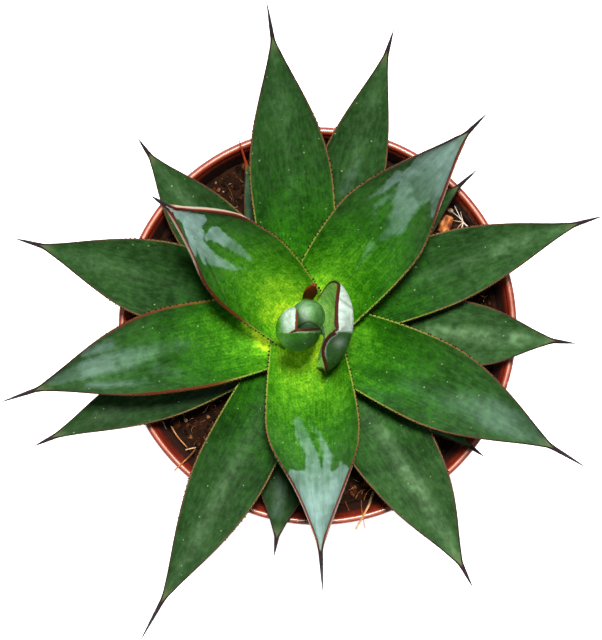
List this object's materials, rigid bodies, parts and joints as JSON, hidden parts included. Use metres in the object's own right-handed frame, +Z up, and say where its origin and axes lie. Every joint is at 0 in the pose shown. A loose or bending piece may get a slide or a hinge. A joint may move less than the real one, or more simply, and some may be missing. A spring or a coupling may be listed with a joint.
{
  "type": "potted agave plant",
  "caption": "Rosette of broad pointed succulent leaves, with horny margins and dark spines, in a round tapered plastic nursery pot of soil.",
  "frame": {"origin": "centre of the pot's underside, on the surface that the pot stands on", "axes": "+Z up along the pot's axis; the spine of the longest upper leaf, leaf_13, points along +Y, and the low leaf_06 points along +X"},
  "size_m": [0.1854, 0.1978, 0.2],
  "materials": {
    "pot_plastic": "satin",
    "potting_soil": "matte",
    "stem_flesh": "satin",
    "leaf_open": "satin",
    "leaf_young": "satin",
    "bark": "matte",
    "straw": "matte"
  },
  "bodies": {
    "root": {"pot": "pot_plastic", "soil": "potting_soil", "stem": "stem_flesh", "leaf_01": "leaf_open", "leaf_02": "leaf_open", "leaf_03": "leaf_open", "leaf_04": "leaf_open", "leaf_05": "leaf_open", "leaf_06": "leaf_open", "leaf_07": "leaf_open", "leaf_08": "leaf_open", "leaf_09": "leaf_open", "leaf_10": "leaf_open", "leaf_11": "leaf_open", "leaf_12": "leaf_open", "leaf_13": "leaf_open", "leaf_14": "leaf_open", "leaf_15": "leaf_open", "leaf_16": "leaf_open", "leaf_17": "leaf_open", "leaf_18": "leaf_open", "leaf_19_leaning": "leaf_young", "leaf_20_pointed": "leaf_young", "leaf_21_outer_wrap": "leaf_young", "leaf_22_rolled_bud": "leaf_young", "bark_chip": "bark", "straw_front": "straw", "straw_left": "straw", "fibre_left": "straw", "rootlet_right": "straw"}
  },
  "joints": []
}
